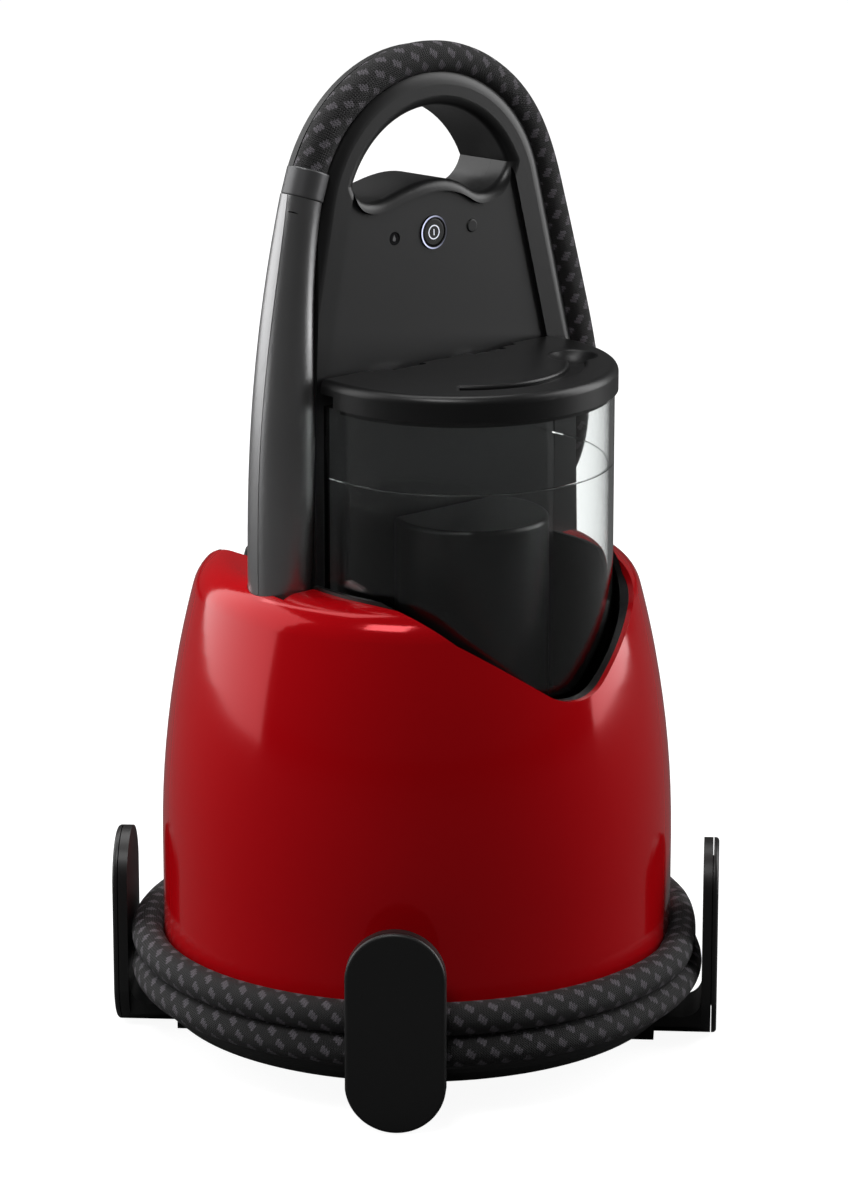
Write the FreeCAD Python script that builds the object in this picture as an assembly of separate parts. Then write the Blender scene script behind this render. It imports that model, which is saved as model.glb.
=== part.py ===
import FreeCAD, Part
import math
import os

# Steam generator iron with a water tank at the front, a carrying arch at the back, a braided
# steam hose wound round the base, and the iron parked upright in a dock behind the arch.
# Millimetres. Origin on the floor under the shell's axis, front towards -Y, up +Z.

V = FreeCAD.Vector
os.makedirs("parts", exist_ok=True)

# Outer shell and base
shell_radius = 110.8
shell_wall = 2.5
barrel_start_z = 90.0
barrel_radius = 437.0
shoulder_start_z = 202.0
shoulder_radius = 17.0
base_clear = 11.0
base_radius = 98.0
base_wall = 3.0
ledge_radius = 117.5
ledge_top = 25.0
spigot_height = 8.0

# Hose
hose_diameter = 14.0
hose_gap = 0.2

# Cord hooks, which are also the feet
hook_top = 87.8
hook_width = 42.0
hook_plate = 4.0
hook_cover_plate = 2.2
hook_groove = 0.4
foot_height = 10.9
foot_inner_radius = 66.0
foot_width = 30.0
foot_round_radius = 104.6
pad_height = 1.5
pad_radius = 10.0

# Water tank and its well
tank_radius = 65.0
tank_wall = 2.2
tank_centre_y = -28.0
tank_back_y = -16.0
tank_floor_z = 146.5
tank_top_z = 292.7
well_gap = 3.0
liner_wall = 2.0
deck_top_z = 142.0
deck_plate = 3.0
scoop_bottom_z = 172.0

# Tank lid
lid_radius = 66.5
lid_bottom_z = 293.0
lid_height = 11.0
lid_edge_round = 3.5
lid_axis_y = -18.7
lid_axis_z = 300.8
lid_pin_diameter = 2.4

# Carrying arch
tower_front_y = -14.4
lean_pivot_z = 303.0
lean_angle = 2.0
arch_radius = 64.0
arch_centre_z = 363.0
leg_flare = 13.0
knee_z = 275.0
tower_foot_z = deck_top_z + 0.1
bead_width = 17.0
bead_round = 8.0
hole_round = 4.5
front_depth = 13.0
flange_plate = 3.2
flange_reach = 8.0
flange_stop = 87.8
rear_depth = 17.0
tower_wall = 2.5
panel_recess = 3.6
panel_plate = 1.8

# Buttons on the panel
button_z = 356.8
button_radius = 6.0
ring_radius = 7.25
small_button_x = 21.5
small_button_radius = 2.8

# Dock for the iron and the iron itself
dock_half_width = 57.0
dock_front_y = 20.0
dock_floor_z = 56.0
dock_wall = 2.0
sole_y = 24.2
sole_plate = 4.0
sole_half_width = 50.0
sole_heel_z = 60.0
sole_tip_z = 287.0
cover_depth = 30.0
handle_half_width = 15.0
handle_round = 2.5

# Boiler
boiler_radius = 40.0
boiler_length = 128.0
boiler_wall = 1.5
boiler_y = -34.0
boiler_z = 88.0

# Inlet, port and posts
inlet_radius = 9.0
inlet_z = 100.0
inlet_angle = 115.0
well_port_y = -50.0
post_circle = 89.0

# Conduit, riser and collar
# Conduit sections from the shell up: height, centre X, centre Y, half width, half depth.
conduit_sections = [
    (150.0, -75.0, 0.3, 14.0, 14.6), (240.0, -75.0, 0.0, 14.0, 14.6), (300.0, -73.5, -1.2, 13.0, 13.4),
    (339.0, -71.2, -1.8, 10.4, 11.2), (386.0, -65.7, -5.3, 8.9, 8.95)]
seam_foot_y = 1.4
seam_top_y = -5.9
seam_gap = 0.35
riser_x = 76.0
riser_y = 0.0
collar_low = 6.0
collar_high = 18.0
collar_wall = 1.9

# Iron's trigger and the hose's strain relief
trigger_half = 6.0
relief_length = 16.5
trigger_axis_y = 93.0
trigger_axis_z = 184.0

# Gaps
running_gap = 0.3
slip_gap = 0.05

shapes = {}


def box(x0, x1, y0, y1, z0, z1):
    return Part.makeBox(x1 - x0, y1 - y0, z1 - z0, V(x0, y0, z0))


def cylinder(radius, start, end):
    way = V(*end) - V(*start)
    return Part.makeCylinder(radius, way.Length, V(*start), way)


def tube(outer, inner, start, end):
    return cylinder(outer, start, end).cut(cylinder(inner, start, end))


def revolve(edges):
    return Part.Face(Part.Wire(edges)).revolve(V(0, 0, 0), V(0, 0, 1), 360)


def polygon(points):
    return Part.makePolygon([V(*p) for p in points + points[:1]])


def revolve_polygon(points):
    return Part.Face(polygon([(r, 0, z) for r, z in points])).revolve(V(0, 0, 0), V(0, 0, 1), 360)


def join(pieces):
    whole = pieces[0]
    for piece in pieces[1:]:
        whole = whole.fuse(piece)
    return whole.removeSplitter()


def around(shape, angle):
    turned = shape.copy()
    turned.rotate(V(0, 0, 0), V(0, 0, 1), angle)
    return turned


def keep(name, shape):
    shapes[name] = shape


# ---------------------------------------------------------------- outer shell profile

def dome(inset, bottom_z):
    """Solid of revolution of the shell's outside, moved in by inset."""
    rise = shoulder_start_z - barrel_start_z
    slope = rise / barrel_radius
    fall = math.sqrt(1 - slope * slope)
    barrel = barrel_radius - inset
    centre_r = shell_radius - barrel_radius
    start = V(centre_r + barrel, 0, barrel_start_z)
    end = V(centre_r + barrel * fall, 0, barrel_start_z + barrel * slope)
    half = math.asin(slope) / 2
    middle = V(centre_r + barrel * math.cos(half), 0, barrel_start_z + barrel * math.sin(half))
    crown_r = centre_r + (barrel_radius - shoulder_radius) * fall
    crown_z = barrel_start_z + (barrel_radius - shoulder_radius) * slope
    crown = shoulder_radius - inset
    top = V(crown_r, 0, crown_z + crown)
    turn = (math.asin(slope) + math.pi / 2) / 2
    mid_crown = V(crown_r + crown * math.cos(turn), 0, crown_z + crown * math.sin(turn))
    bottom = V(start.x, 0, bottom_z)
    edges = [
        Part.makeLine(V(0, 0, bottom_z), bottom),
        Part.makeLine(bottom, start),
        Part.Arc(start, middle, end).toShape(),
        Part.Arc(end, mid_crown, top).toShape(),
        Part.makeLine(top, V(0, 0, top.z)),
        Part.makeLine(V(0, 0, top.z), V(0, 0, bottom_z)),
    ]
    return revolve(edges)


def d_prism(radius, back_y, z0, z1):
    """Half-round plan of the tank: a semicircle at the front, straight sides to back_y."""
    left = V(-radius, tank_centre_y, z0)
    right = V(radius, tank_centre_y, z0)
    edges = [
        Part.Arc(left, V(0, tank_centre_y - radius, z0), right).toShape(),
        Part.makeLine(right, V(radius, back_y, z0)),
        Part.makeLine(V(radius, back_y, z0), V(-radius, back_y, z0)),
        Part.makeLine(V(-radius, back_y, z0), left),
    ]
    return Part.Face(Part.Wire(edges)).extrude(V(0, 0, z1 - z0))


def scoop(drop):
    """Prism along Y whose rounded V lets the tank show at the front; drop lowers it."""
    low = scoop_bottom_z - drop
    bend = 28.0
    slope = math.radians(35)
    knee_x = bend * math.sin(slope)
    knee = low + bend * (1 - math.cos(slope))
    side_x = 50.0
    side_z = knee + (side_x - knee_x) * math.tan(slope)
    reach = tank_radius + well_gap + liner_wall + 1
    high = shoulder_start_z + 30
    y = -shell_radius - 20
    points = [(-knee_x, knee), (-side_x, side_z), (-reach, side_z + 21), (-reach, high)]
    left = [V(x, y, z) for x, z in points]
    right = [V(-x, y, z) for x, z in points]
    edges = [Part.Arc(left[0], V(0, y, low), right[0]).toShape()]
    edges += [Part.makeLine(a, b) for a, b in zip(right, right[1:])]
    edges.append(Part.makeLine(right[-1], left[-1]))
    edges += [Part.makeLine(b, a) for a, b in reversed(list(zip(left, left[1:])))]
    return Part.Face(Part.Wire(edges)).extrude(V(0, tank_centre_y - y, 0))


# ---------------------------------------------------------------- carrying arch outline

def arch_face(grow, bottom_z, y):
    """Arch outline in the plane Y = y: round top, legs that flare out, then upright."""
    radius = arch_radius + grow
    flare = math.radians(leg_flare)
    touch = (radius * math.cos(flare), arch_centre_z + radius * math.sin(flare))
    knee_x = touch[0] + (touch[1] - knee_z) * math.tan(flare)
    right = [touch, (knee_x, knee_z), (knee_x, bottom_z)]
    left = [(-x, z) for x, z in right]
    edges = [Part.Arc(V(left[0][0], y, left[0][1]), V(0, y, arch_centre_z + radius),
                      V(right[0][0], y, right[0][1])).toShape()]
    loop = right + left[::-1]
    edges += [Part.makeLine(V(a[0], y, a[1]), V(b[0], y, b[1])) for a, b in zip(loop, loop[1:])]
    return Part.Face(Part.Wire(edges))


def arch_prism(grow, depth0, depth1, bottom_z=120.0):
    y = tower_front_y + depth0
    return arch_face(grow, bottom_z, y).extrude(V(0, depth1 - depth0, 0))


def below_hole(drop, depth0, depth1):
    """Everything under the wavy lower edge of the hand hole, lowered by drop."""
    y = tower_front_y + depth0
    wave = [(-60, 412), (-46, 396), (-44.4, 388), (-43.3, 382), (-40.5, 377), (-34, 373.7), (-22, 375.2),
            (6, 378.8), (18, 375), (27, 370.6), (34, 371.6), (40, 375.6), (43.2, 381), (44.3, 387),
            (46, 396), (60, 412)]
    curve = Part.BSplineCurve()
    curve.interpolate([V(x, y, z - drop) for x, z in wave])
    loop = [wave[-1], (130, wave[-1][1]), (130, 100 + drop), (-130, 100 + drop), (-130, wave[0][1]), wave[0]]
    corners = [V(x, y, z - drop) for x, z in loop]
    edges = [curve.toShape()] + [Part.makeLine(a, b) for a, b in zip(corners, corners[1:])]
    return Part.Face(Part.Wire(edges)).extrude(V(0, depth1 - depth0, 0))


def hand_hole(grow, depth0, depth1):
    inner = arch_prism(grow - bead_width, depth0, depth1)
    return inner.cut(below_hole(grow, depth0, depth1))


def lean(shape):
    """Tip an arch piece back and trim whatever would reach the tank."""
    tipped = shape.copy()
    tipped.rotate(V(0, tower_front_y, lean_pivot_z), V(1, 0, 0), -lean_angle)
    return tipped.cut(box(-200, 200, -200, tower_front_y, 0, lean_pivot_z))


def lean_only(shape):
    tipped = shape.copy()
    tipped.rotate(V(0, tower_front_y, lean_pivot_z), V(1, 0, 0), -lean_angle)
    return tipped


# ---------------------------------------------------------------- hose routes

# Over the arch, down its right channel, over the rear shoulder, to the coil.
upper_route = [
    (-69.0, -5.2, 373.0), (-60.0, -4.5, 398.5), (-38.3, -3.9, 420.2), (-10.6, -3.5, 430.3),
    (18.6, -3.6, 428.4), (44.3, -4.1, 414.6), (62.0, -4.9, 391.6), (73.2, -6.8, 349.0),
    (88.0, -10.5, 285.0), (93.0, -5.0, 254.0), (96.0, 13.0, 230.0), (92.5, 42.5, 215.0),
    (84.5, 69.5, 191.0), (76.0, 89.5, 157.0), (67.0, 101.5, 121.0), (55.0, 113.5, 88.0),
    (36.0, 125.0, 62.0), (10.0, 131.5, 46.0), (-18.0, 128.0, 38.0), (-44.0, 115.0, 34.0),
    (-62.0, 101.0, 32.5)]

# From the top of the coil on the right, rising behind to the iron.
tail_route = [
    (103.0, -59.5, 46.0), (114.8, -30.8, 47.5), (118.9, 0.0, 51.5), (114.8, 30.8, 57.0),
    (103.0, 59.5, 60.5), (84.1, 84.1, 62.0), (63.0, 100.9, 62.5), (44.0, 107.7, 65.0),
    (25.0, 108.5, 74.0), (9.0, 105.0, 90.0), (0.0, 99.5, 112.0), (0.0, 97.0, 134.0)]


def hose_path(points, report):
    """Straight runs joined by the largest tangent arcs that the runs allow."""
    pts = [V(*p) for p in points]
    edges = []
    start = pts[0]
    radii = []
    for before, here, after in zip(pts, pts[1:], pts[2:]):
        back = before - here
        on = after - here
        back_run = back.Length
        on_run = on.Length
        back.normalize()
        on.normalize()
        half_turn = (math.pi - back.getAngle(on)) / 2
        radius = 0.45 * min(back_run, on_run) / math.tan(half_turn)
        radii.append(radius)
        trim = radius * math.tan(half_turn)
        first = here + back * trim
        last = here + on * trim
        inward = (back + on).normalize()
        middle = here + inward * (radius / math.cos(half_turn) - radius)
        edges.append(Part.makeLine(start, first))
        edges.append(Part.Arc(first, middle, last).toShape())
        start = last
    edges.append(Part.makeLine(start, pts[-1]))
    wire = Part.Wire(edges)
    if report:
        print(report, "length %.0f" % wire.Length, "radii", [round(r) for r in radii])
    return wire


def hose_tube(points, radius, report=""):
    wire = hose_path(points, report)
    start = V(*points[0])
    way = V(*points[1]) - start
    ring = Part.Wire(Part.makeCircle(radius, start, way))
    pipe = wire.makePipeShell([ring], True, True)
    if report:
        print(report, "volume / (section x length) %.3f"
              % (pipe.Volume / (math.pi * radius ** 2 * wire.Length)))
    return pipe


# ---------------------------------------------------------------- base and shell

def make_base():
    tray = revolve_polygon([
        (0, base_clear), (base_radius, base_clear), (ledge_radius - 8, base_clear + 4),
        (ledge_radius - 1.5, ledge_top - 4), (ledge_radius, ledge_top - 1.5), (ledge_radius, ledge_top),
        (shell_radius - shell_wall - slip_gap, ledge_top),
        (shell_radius - shell_wall - slip_gap, ledge_top + spigot_height),
        (shell_radius - 2 * shell_wall, ledge_top + spigot_height),
        (shell_radius - 2 * shell_wall, ledge_top - 2), (base_radius - 2, base_clear + base_wall),
        (0, base_clear + base_wall)])
    keep("base_tray", tray)
    shell = dome(0, ledge_top + slip_gap).cut(dome(shell_wall, ledge_top - 5))
    opening = d_prism(tank_radius + well_gap + liner_wall + slip_gap, tower_front_y + 5, 100, 300)
    shell = shell.cut(opening).cut(scoop(0))
    window = box(-dock_half_width, dock_half_width, dock_front_y - slip_gap, 200, dock_floor_z, 300)
    shell = shell.cut(window)
    bulge_y = front_depth + flange_plate
    shell = shell.cut(lean(arch_prism(0.2, -1, bulge_y)))
    flange_slot = lean(arch_prism(flange_reach + 0.2, front_depth - 0.2, bulge_y + 0.2))
    shell = shell.cut(flange_slot.common(box(-flange_stop, flange_stop, -200, 200, 0, 500)))
    shell = shell.cut(lean(arch_prism(0.2 - 8, bulge_y, bulge_y + rear_depth + 0.2)))
    shell = shell.cut(conduit_loft(0.2))
    inlet = cylinder(inlet_radius + slip_gap, (0, -80, inlet_z), (0, -140, inlet_z))
    shell = shell.cut(around(inlet, inlet_angle))
    keep("outer_shell", shell)


def make_inlet():
    flange_r = shell_radius
    body = cylinder(inlet_radius, (0, -flange_r + 10, inlet_z), (0, -flange_r - 3, inlet_z))
    body = body.fuse(cylinder(inlet_radius + 3, (0, -flange_r - 3, inlet_z), (0, -flange_r - 5, inlet_z)))
    body = body.cut(cylinder(3.6, (0, -flange_r - 6, inlet_z), (0, -flange_r + 4, inlet_z)))
    keep("power_inlet", around(body, inlet_angle))


# ---------------------------------------------------------------- hooks

def stadium(width, z0, z1, r0, r1):
    """Upright plate with round ends, facing -Y at radius r0 to r1."""
    half = width / 2
    y = -r1
    low = z0 + half * 0.9
    left = V(-half, y, z1 - half)
    right = V(half, y, z1 - half)
    edges = [
        Part.Arc(left, V(0, y, z1), right).toShape(),
        Part.makeLine(right, V(half, y, low)),
        Part.Arc(V(half, y, low), V(0, y, z0), V(-half, y, low)).toShape(),
        Part.makeLine(V(-half, y, low), left),
    ]
    return Part.Face(Part.Wire(edges)).extrude(V(0, r1 - r0, 0))


def face_edges(shape, y, tolerance=0.05):
    return [e for e in shape.Edges if all(abs(v.Y - y) < tolerance for v in e.Vertexes)
            and abs(e.BoundBox.YMax - e.BoundBox.YMin) < tolerance]


def make_hooks():
    hose_outer = shell_radius + hose_gap + hose_diameter
    inner = hose_outer + hose_gap
    mid = inner + hook_plate
    outer = mid + hook_groove + hook_cover_plate
    plate = stadium(hook_width, 0, hook_top, inner, mid)
    arm = box(-foot_width / 2, foot_width / 2, -mid + 1, -foot_inner_radius, 0, foot_height)
    toe = box(-hook_width, hook_width, -mid - 1, -foot_round_radius, -1, foot_height + 1)
    arm = arm.cut(toe.cut(stadium(hook_width, 0, hook_top, foot_round_radius - 1, mid + 2)))
    rise = hook_width * 0.5
    corner_r = 8.0
    corner = box(-foot_width / 2, foot_width / 2, -inner - 0.5, -inner + corner_r, foot_height - 0.5,
                 foot_height + corner_r)
    scoop_out = cylinder(corner_r, (-rise, -inner + corner_r, foot_height + corner_r),
                         (rise, -inner + corner_r, foot_height + corner_r))
    tray_space = revolve_polygon([
        (0, base_clear - slip_gap), (base_radius, base_clear - slip_gap),
        (ledge_radius - 7.8, base_clear + 3.8), (ledge_radius + slip_gap, ledge_top - 4),
        (ledge_radius + slip_gap, 60), (0, 60)])
    lift = pad_height - 1.0
    hook = join([plate, arm, corner.cut(scoop_out)]).cut(tray_space.translated(V(0, 0, -lift)))
    tie = stadium(hook_width - 12, 12, hook_top - 8, mid, mid + hook_groove)
    hook = hook.fuse(tie)
    pad_centre = -(foot_inner_radius + outer) / 2 + 6
    pocket = cylinder(pad_radius, (0, pad_centre, 0), (0, pad_centre, 1.0))
    screw_y = [-foot_inner_radius - 10, -base_radius + 6]
    for y in screw_y:
        hook = hook.cut(cylinder(2.2, (0, y, -1), (0, y, foot_height + 1)))
        hook = hook.cut(cylinder(4.2, (0, y, -1), (0, y, 4)))
    hook = hook.cut(pocket)
    cover = stadium(hook_width, 0, hook_top, mid + hook_groove, outer)
    cover = cover.makeFillet(hook_cover_plate * 0.7, face_edges(cover, -outer))
    pad = cylinder(pad_radius - slip_gap, (0, pad_centre, -pad_height + 1.0), (0, pad_centre, 1.0))
    screw = cylinder(4.0, (0, 0, 1.5), (0, 0, 4)).fuse(
        cylinder(1.9, (0, 0, 4), (0, 0, base_clear + base_wall)))
    names = {-45: "left_front", 45: "right_front", 135: "right_rear", -135: "left_rear"}
    pads = []
    screws = []
    for angle, name in names.items():
        keep("cord_hook_" + name, around(hook, angle).translated(V(0, 0, lift)))
        keep("hook_cover_" + name, around(cover, angle).translated(V(0, 0, lift)))
        pads.append(around(pad, angle).translated(V(0, 0, lift)))
        for y in screw_y:
            screws.append(around(screw.translated(V(0, y, 0)), angle).translated(V(0, 0, lift)))
    keep("foot_pads", Part.makeCompound(pads))
    screw_set = Part.makeCompound(screws)
    keep("hook_screws", screw_set)
    shapes["base_tray"] = shapes["base_tray"].cut(screw_set)


# ---------------------------------------------------------------- well, deck and dock

def make_well():
    inner = tank_radius + well_gap
    outer = inner + liner_wall
    top_z = shoulder_start_z + shoulder_radius - 3
    back = tower_front_y - 0.4
    cup = d_prism(outer, back, deck_top_z + slip_gap, top_z)
    cup = cup.cut(d_prism(inner, back + 5, deck_top_z + liner_wall, top_z + 50))
    cup = cup.cut(scoop(0.3))
    lip = dome(shell_wall + slip_gap, 60).common(scoop(liner_wall + 0.8)).cut(scoop(0.3))
    lip = lip.cut(d_prism(inner, back + 5, 100, 300)).common(box(-200, 200, -200, back, 0, 300))
    lip = lip.cut(dome(shell_wall + slip_gap, 0).cut(dome(shell_wall + 14, 0)).common(
        box(-200, 200, tank_centre_y, 0, 0, 300)))
    liner = join([cup, lip])
    port = cylinder(6.0, (0, well_port_y, 100), (0, well_port_y, 160))
    keep("well_liner", liner.cut(port))


def make_deck():
    deck = cylinder(shell_radius - shell_wall - 4.2, (0, 0, deck_top_z - deck_plate), (0, 0, deck_top_z))
    deck = deck.cut(box(-dock_half_width - 1, dock_half_width + 1, dock_front_y - 1, 200, 0, 300))
    deck = deck.cut(cylinder(8.0, (0, well_port_y, 100), (0, well_port_y, 160)))
    deck = deck.cut(cylinder(5.0, (-riser_x, riser_y, 100), (-riser_x, riser_y, 160)))
    keep("chassis_deck", deck)
    posts = []
    for angle in (30, 150, 200, 250, 290, 325):
        x = post_circle * math.cos(math.radians(angle))
        y = post_circle * math.sin(math.radians(angle))
        start = (x, y, base_clear + base_wall)
        posts.append(tube(5, 2, start, (x, y, deck_top_z - deck_plate)))
    keep("deck_posts", Part.makeCompound(posts))


def make_dock():
    outer = box(-dock_half_width + slip_gap, dock_half_width - slip_gap, dock_front_y, 200,
                dock_floor_z + slip_gap, 213)
    inner = box(-dock_half_width + dock_wall, dock_half_width - dock_wall,
                dock_front_y + dock_wall, 200, dock_floor_z + dock_wall, 300)
    dock = outer.cut(inner).common(dome(0.4, 30))
    keep("iron_dock", dock)
    pad_y = dock_front_y + dock_wall
    pad = box(-24, 24, pad_y, sole_y - 0.4, 80, 205)
    keep("iron_rest_pad", pad)


# ---------------------------------------------------------------- arch pieces

def conduit_loft(grow):
    wires = []
    for z, x, y, half_x, half_y in conduit_sections:
        ellipse = Part.Ellipse(V(x, y + half_y + grow, z), V(x - half_x - grow, y, z), V(x, y, z))
        wires.append(Part.Wire(ellipse.toShape()))
    return Part.makeLoft(wires, True, False)


def along_hose(reach):
    """Point on the hose's first straight, reach from its start, and the way it runs."""
    start = V(*upper_route[0])
    way = (V(*upper_route[1]) - start).normalize()
    return start + way * reach, way


def collar_solid(grow):
    low, way = along_hose(collar_low - grow)
    return Part.makeCylinder(hose_diameter / 2 + collar_wall + grow, collar_high - collar_low + 2 * grow,
                             low, way)


def above_conduit():
    """Everything past the square end of the conduit, where the collar sits."""
    low, way = along_hose(collar_low - slip_gap)
    return Part.makeCylinder(80, 60, low, way)


def hose_start(radius):
    low, way = along_hose(-1)
    return Part.makeCylinder(radius, collar_high + 5, low, way)


def left_of_bead():
    """Everything outside the arch's left bead, where the conduit takes its place."""
    line = [(-60.0, 396), (-64.5, 345), (-67.5, 300), (-68.5, 100)]
    outer = [(-150, 100), (-150, 384), (-66.5, 384)]
    points = [(x, -60, z) for x, z in line + outer]
    return Part.Face(polygon(points)).extrude(V(0, 120, 0))


def behind_seam(shift):
    """Everything behind the conduit's seam, a plane that comes forward a little as it rises."""
    y, rise = seam_foot_y + shift, seam_top_y - seam_foot_y
    points = [(-200, y - rise * 0.2, 100), (-200, y + rise * 1.5, 500), (-200, 300, 500), (-200, 300, 100)]
    return Part.Face(polygon(points)).extrude(V(400, 0, 0))


def make_conduit():
    outer = conduit_loft(0)
    inner = conduit_loft(-tower_wall).cut(box(-200, 200, -200, 200, 376, 500))
    inner_low = conduit_loft(-tower_wall).common(box(-200, 200, -200, 200, 100, 152))
    hollow = outer.cut(inner).cut(inner_low)
    hollow = hollow.cut(hose_start(hose_diameter / 2 + slip_gap))
    front = hollow.cut(behind_seam(-seam_gap / 2))
    rear = hollow.common(behind_seam(seam_gap / 2))
    keep("conduit_front", largest(front.cut(above_conduit())))
    keep("conduit_rear", largest(rear.cut(above_conduit())))
    collar = collar_solid(0)
    collar = collar.makeFillet(0.7, [e for e in collar.Edges if e.Closed])
    keep("hose_collar", collar.cut(hose_start(hose_diameter / 2 + running_gap)))
    rise = [(-riser_x, riser_y, 129.0), (-riser_x, riser_y, 240.0), (-74.5, -1.0, 300.0),
            (-71.5, -1.6, 345.0), (-69.8, -2.4, 372.0)]
    keep("steam_riser", hose_tube(rise, 2.0))


def hole_edge(edge):
    """Whether an edge of the front belongs to the hand hole and not to the arch's outline."""
    middle = edge.valueAt((edge.FirstParameter + edge.LastParameter) / 2)
    inner_radius = arch_radius - bead_width + 1
    return abs(middle.x) < inner_radius and 340 < middle.z < arch_centre_z + inner_radius


def make_tower():
    front = arch_prism(0, 0, front_depth)
    rim = face_edges(front, tower_front_y)
    front = front.makeFillet(bead_round, rim)
    pocket = arch_prism(-9.5, panel_recess + tower_wall, front_depth + 1)
    pocket = pocket.cut(hand_hole(tower_wall, 0, 40))
    front = front.cut(pocket)
    hole = hand_hole(0, -5, 60)
    front = front.cut(hole)
    rounded = [e for e in face_edges(front, tower_front_y) if hole_edge(e)]
    front = front.makeFillet(hole_round, rounded)
    recess = arch_prism(-bead_width, -1, panel_recess).common(
        below_hole(hole_round + 0.6, -1, panel_recess))
    front = front.cut(recess)
    rear = arch_prism(flange_reach, front_depth + slip_gap, front_depth + flange_plate)
    bulge_y = front_depth + flange_plate
    bulge = arch_prism(-8, bulge_y - 0.01, bulge_y + rear_depth)
    bulge = bulge.makeFillet(9.0, face_edges(bulge, tower_front_y + bulge_y + rear_depth))
    rear = rear.fuse(bulge)
    rear_pocket = arch_prism(-11, front_depth - 1, bulge_y + rear_depth - tower_wall)
    rear_pocket = rear_pocket.common(arch_prism(-22, 0, 80).fuse(arch_prism(-11, 0, bulge_y + 8)))
    rear = rear.cut(rear_pocket.cut(hand_hole(tower_wall, 0, 60)))
    rear = rear.cut(hole)
    hose_space = hose_tube(upper_route, hose_diameter / 2 + running_gap)
    conduit_space = conduit_loft(slip_gap * 2)
    collar_space = hose_space.fuse(collar_solid(running_gap))
    foot = box(-200, 200, -200, 200, 0, tower_foot_z)
    foot = foot.fuse(cylinder(4.0, (-riser_x, riser_y, 100), (-riser_x, riser_y, 180)))
    dock_space = box(-dock_half_width - 1, dock_half_width + 1, dock_front_y - 0.2, 200, 0, 214)
    holes = lean_only(button_holes(0.1))
    front = lean(front).cut(collar_space).cut(conduit_space).cut(left_of_bead()).cut(foot).cut(holes)
    outside = box(-200, 200, -200, 200, 0, 500).cut(
        box(-flange_stop + 0.3, flange_stop - 0.3, -200, 200, 0, 500))
    rear = lean(rear).cut(dome(-0.4, 0).common(outside))
    rear = rear.cut(collar_space).cut(conduit_space).cut(foot).cut(dock_space)
    keep("tower_front", largest(front))
    keep("tower_rear", largest(rear))
    plate = arch_prism(-bead_width - 0.15, panel_recess - panel_plate, panel_recess - 0.05)
    plate = plate.common(below_hole(hole_round + 0.9, -1, 20))
    keep("control_panel", lean(plate).cut(foot).cut(holes).cut(conduit_space))


def largest(shape):
    return max(shape.Solids, key=lambda s: s.Volume)


def button_holes(gap):
    y0 = tower_front_y - 5
    y1 = tower_front_y + 9
    holes = [cylinder(ring_radius + gap, (0, y0, button_z), (0, y1, button_z))]
    for x in (-small_button_x, small_button_x):
        holes.append(cylinder(small_button_radius + gap, (x, y0, button_z), (x, y1, button_z)))
    return Part.makeCompound(holes)


def make_buttons():
    face = tower_front_y + panel_recess - panel_plate
    inner = face + 7.5
    ring = tube(ring_radius, button_radius + slip_gap, (0, face - 0.5, button_z), (0, inner, button_z))
    keep("button_light_ring", lean_only(ring))
    button = cylinder(button_radius, (0, face - 0.3, button_z), (0, inner - 2, button_z))
    keep("power_button", lean_only(button.makeFillet(0.8, face_edges(button, face - 0.3))))
    small = cylinder(small_button_radius, (small_button_x, face - 0.5, button_z),
                     (small_button_x, inner - 2, button_z))
    keep("steam_button", lean_only(small.makeFillet(0.6, face_edges(small, face - 0.5))))
    lamp = cylinder(small_button_radius, (-small_button_x, face + 0.3, button_z),
                    (-small_button_x, inner, button_z))
    keep("water_lamp", lean_only(lamp))
    board = box(-30, 30, inner + 0.3, inner + 1.9, button_z - 12, button_z + 9)
    posts = Part.makeCompound([cylinder(2.0, (x, inner + 0.3, button_z - 9), (x, inner - 3, button_z - 9))
                               for x in (-12, 12)])
    pocket_post = posts.common(arch_prism(0, panel_recess + tower_wall, 40))
    keep("button_board", lean_only(board.fuse(pocket_post)))


# ---------------------------------------------------------------- tank

def make_tank():
    wall = d_prism(tank_radius, tank_back_y, tank_floor_z, tank_top_z)
    inside = d_prism(tank_radius - tank_wall, tank_back_y - tank_wall, tank_floor_z + tank_wall, 400)
    tank = wall.cut(inside)
    spout = tube(7.0, 4.0, (0, well_port_y, tank_floor_z + tank_wall), (0, well_port_y, tank_floor_z + 6.5))
    tank = tank.cut(cylinder(4.0, (0, well_port_y, 100), (0, well_port_y, 160))).fuse(spout)
    knuckles = []
    for side in (-1, 1):
        x0, x1 = sorted((side * 14.0, side * 31.0))
        knuckle = cylinder(2.4, (x0, lid_axis_y, lid_axis_z), (x1, lid_axis_y, lid_axis_z))
        stem = box(x0, x1, lid_axis_y - 0.2, tank_back_y - 0.3, tank_top_z - 6, lid_axis_z)
        knuckles.append(knuckle.fuse(stem))
    tank = join([tank] + knuckles)
    pin_bore = lid_pin_diameter / 2 + slip_gap
    tank = tank.cut(cylinder(pin_bore, (-40, lid_axis_y, lid_axis_z), (40, lid_axis_y, lid_axis_z)))
    keep("tank_body", tank)


def make_filter():
    radius = 33.0
    centre_y = -35.0
    can = cylinder(radius, (0, centre_y, tank_floor_z + tank_wall + 0.1), (0, centre_y, 240.0))
    can = can.cut(box(-50, 50, tank_back_y - tank_wall - 0.5, 50, 100, 300))
    can = can.makeFillet(2.0, [e for e in can.Edges if abs(e.BoundBox.ZMin - 240) < 0.01])
    port = cylinder(8.0, (0, well_port_y, 100), (0, well_port_y, tank_floor_z + 22))
    keep("filter_canister", can.cut(port))


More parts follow.
